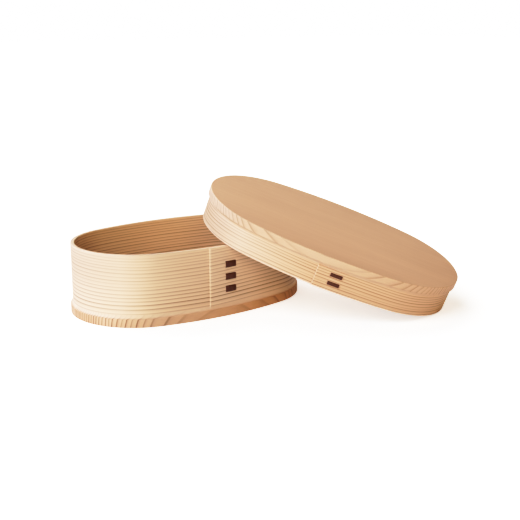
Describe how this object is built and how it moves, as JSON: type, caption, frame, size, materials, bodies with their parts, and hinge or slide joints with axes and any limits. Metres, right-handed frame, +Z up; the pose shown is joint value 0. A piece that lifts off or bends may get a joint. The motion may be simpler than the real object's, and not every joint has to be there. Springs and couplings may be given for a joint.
{
  "type": "bento box",
  "caption": "Oval bentwood lunch box of bent cedar sewn with bark, open, with its covering lid leaning across one end of the rim.",
  "frame": {"origin": "middle of the flat underside of the base board, where the box stands on the table", "axes": "+X along the length of the box towards the end the lid leans on, +Y across it away from the sewn front, +Z up"},
  "size_m": [0.2396, 0.1928, 0.0838],
  "materials": {
    "cedar_base_board": "planed and sanded, bare or thinly sealed, satin",
    "cedar_body_band": "straight-grained strip, sanded, satin",
    "cherry_bark_body_lacing": "polished bark, low sheen",
    "cedar_lid_board": "planed and sanded, bare or thinly sealed, satin",
    "cedar_lid_band": "straight-grained strip, sanded, satin",
    "cherry_bark_lid_lacing": "polished bark, low sheen"
  },
  "bodies": {
    "box": {"base_board": "cedar_base_board", "body_band": "cedar_body_band", "body_lacing": "cherry_bark_body_lacing"},
    "lid": {"lid_board": "cedar_lid_board", "lid_band": "cedar_lid_band", "lid_lacing": "cherry_bark_lid_lacing"}
  },
  "joints": [
    {"name": "lid_lift", "type": "slide", "parent": "box", "child": "lid", "axis": [0, 0, 1], "range_m": [0, 0.1]}
  ]
}
